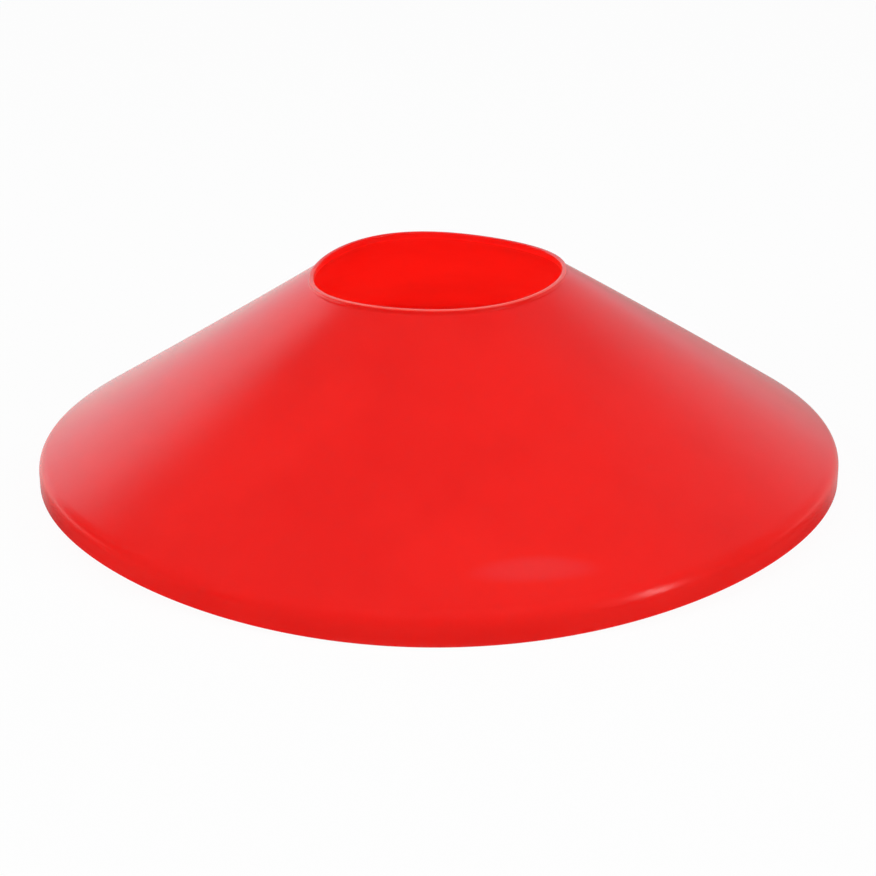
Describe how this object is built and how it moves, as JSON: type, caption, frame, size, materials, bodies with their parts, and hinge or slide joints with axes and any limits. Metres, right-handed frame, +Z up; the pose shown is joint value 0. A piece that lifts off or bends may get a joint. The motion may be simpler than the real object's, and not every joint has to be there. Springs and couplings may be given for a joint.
{
  "type": "sports marker cone",
  "caption": "Low saucer-shaped sports marker cone: a thin soft-plastic shell, open at its round mouth and hollow below, with a straight sloping wall and a short upright rim to stand on the ground.",
  "frame": {"origin": "centre of the base circle, on the ground that the rim stands on", "axes": "+Z up along the axis of the cone, out of the mouth; X and Y in the ground, any direction alike"},
  "size_m": [0.2, 0.2, 0.052],
  "materials": {
    "red_plastic": "satin"
  },
  "bodies": {
    "root": {"cone_shell": "red_plastic"}
  },
  "joints": []
}
